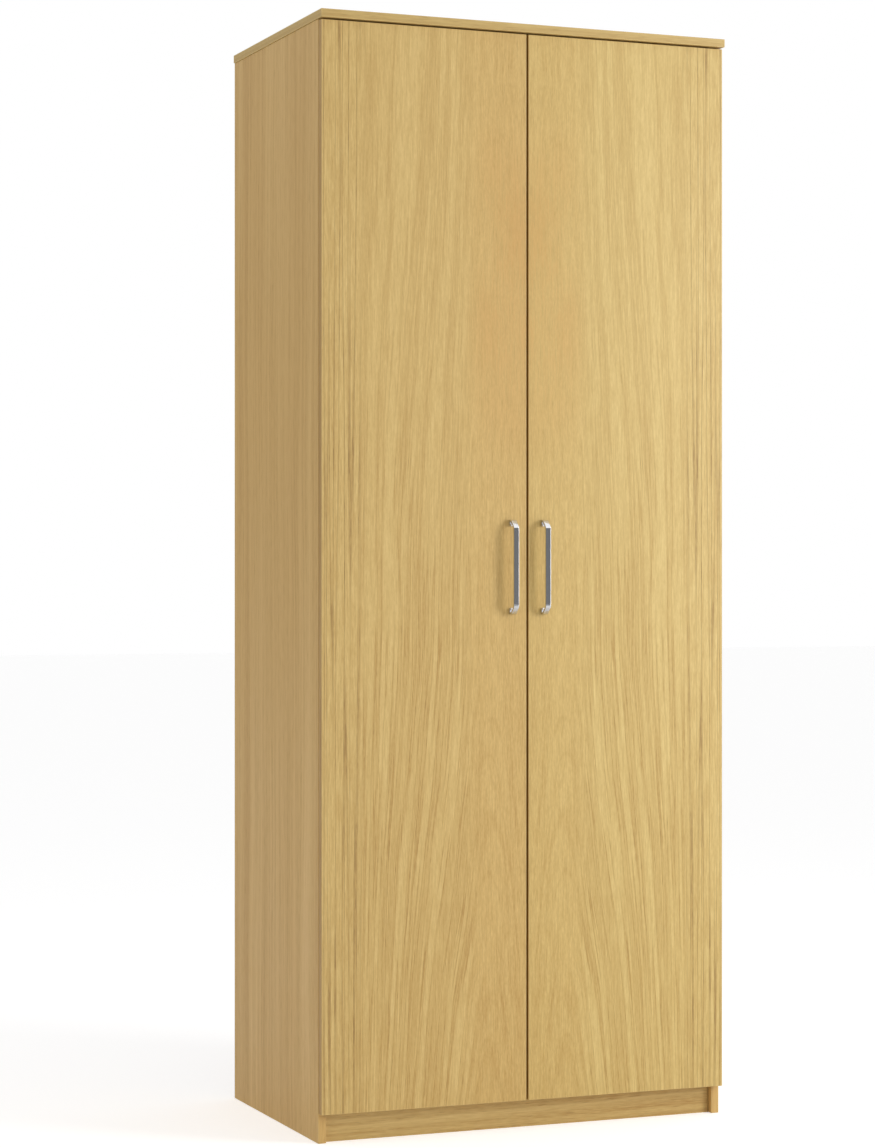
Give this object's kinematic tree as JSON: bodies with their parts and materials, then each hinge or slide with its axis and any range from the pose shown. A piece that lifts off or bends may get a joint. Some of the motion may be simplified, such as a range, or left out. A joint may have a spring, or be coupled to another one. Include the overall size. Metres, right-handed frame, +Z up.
{
  "type": "wardrobe with doors",
  "caption": "Tall freestanding wardrobe with two flat oak-veneer doors on concealed hinges, chrome strap handles, a hat shelf and a hanging rail.",
  "frame": {"origin": "under the middle of the bounding box, on the floor", "axes": "+Z up, -Y out of the doors, +X to the right of someone facing the doors"},
  "size_m": [0.8, 0.521, 2.01],
  "materials": {
    "oak_door": "satin crown-cut oak veneer, matched about the meeting gap",
    "oak_board": "satin oak veneer, quiet straight grain",
    "oak_edge": "satin oak veneer, grain lengthwise",
    "backing": "thin printed hardboard",
    "chrome": "polished",
    "nickel": "bright nickel plate",
    "clear_plastic": "translucent soft pad"
  },
  "bodies": {
    "carcass": {"left_side_panel": "oak_board", "right_side_panel": "oak_board", "top_panel": "oak_board", "base_panel": "oak_board", "back_panel": "backing", "plinth_front": "oak_edge", "plinth_rear": "oak_edge", "wall_rail": "oak_board", "hat_shelf": "oak_board", "hanging_rail": "chrome", "rail_socket_left": "nickel", "rail_socket_right": "nickel", "shelf_pin_left_front": "nickel", "shelf_pin_left_rear": "nickel", "shelf_pin_right_front": "nickel", "shelf_pin_right_rear": "nickel", "left_hinge_arm_1": "nickel", "left_hinge_plate_1": "nickel", "left_hinge_arm_2": "nickel", "left_hinge_plate_2": "nickel", "left_hinge_arm_3": "nickel", "left_hinge_plate_3": "nickel", "left_hinge_arm_4": "nickel", "left_hinge_plate_4": "nickel", "right_hinge_arm_1": "nickel", "right_hinge_plate_1": "nickel", "right_hinge_arm_2": "nickel", "right_hinge_plate_2": "nickel", "right_hinge_arm_3": "nickel", "right_hinge_plate_3": "nickel", "right_hinge_arm_4": "nickel", "right_hinge_plate_4": "nickel"},
    "left_door": {"left_door": "oak_door", "left_handle": "chrome", "left_handle_screw_lower": "nickel", "left_door_bumper_lower": "clear_plastic", "left_handle_screw_upper": "nickel", "left_door_bumper_upper": "clear_plastic", "left_hinge_cup_1": "nickel", "left_hinge_cup_2": "nickel", "left_hinge_cup_3": "nickel", "left_hinge_cup_4": "nickel"},
    "left_hinge_links": {"left_hinge_link_1": "nickel", "left_hinge_link_2": "nickel", "left_hinge_link_3": "nickel", "left_hinge_link_4": "nickel"},
    "right_door": {"right_door": "oak_door", "right_handle": "chrome", "right_handle_screw_lower": "nickel", "right_door_bumper_lower": "clear_plastic", "right_handle_screw_upper": "nickel", "right_door_bumper_upper": "clear_plastic", "right_hinge_cup_1": "nickel", "right_hinge_cup_2": "nickel", "right_hinge_cup_3": "nickel", "right_hinge_cup_4": "nickel"},
    "right_hinge_links": {"right_hinge_link_1": "nickel", "right_hinge_link_2": "nickel", "right_hinge_link_3": "nickel", "right_hinge_link_4": "nickel"}
  },
  "joints": [
    {"name": "left_door_swing", "type": "hinge", "parent": "carcass", "child": "left_door", "pos_m": [-0.394, -0.2335, 1.0225], "axis": [0, 0, -1], "range_deg": [0, 110]},
    {"name": "right_door_swing", "type": "hinge", "parent": "carcass", "child": "right_door", "pos_m": [0.394, -0.2335, 1.0225], "axis": [0, 0, 1], "range_deg": [0, 110]},
    {"name": "left_link_turn", "type": "hinge", "parent": "carcass", "child": "left_hinge_links", "pos_m": [-0.373, -0.2225, 1.0225], "axis": [0, 0, 1], "range_deg": [0, 35]},
    {"name": "right_link_turn", "type": "hinge", "parent": "carcass", "child": "right_hinge_links", "pos_m": [0.373, -0.2225, 1.0225], "axis": [0, 0, -1], "range_deg": [0, 35]}
  ],
  "couplings": [
    {"joint": "left_link_turn", "follows": "left_door_swing", "ratio": 0.31818},
    {"joint": "right_link_turn", "follows": "right_door_swing", "ratio": 0.31818}
  ]
}
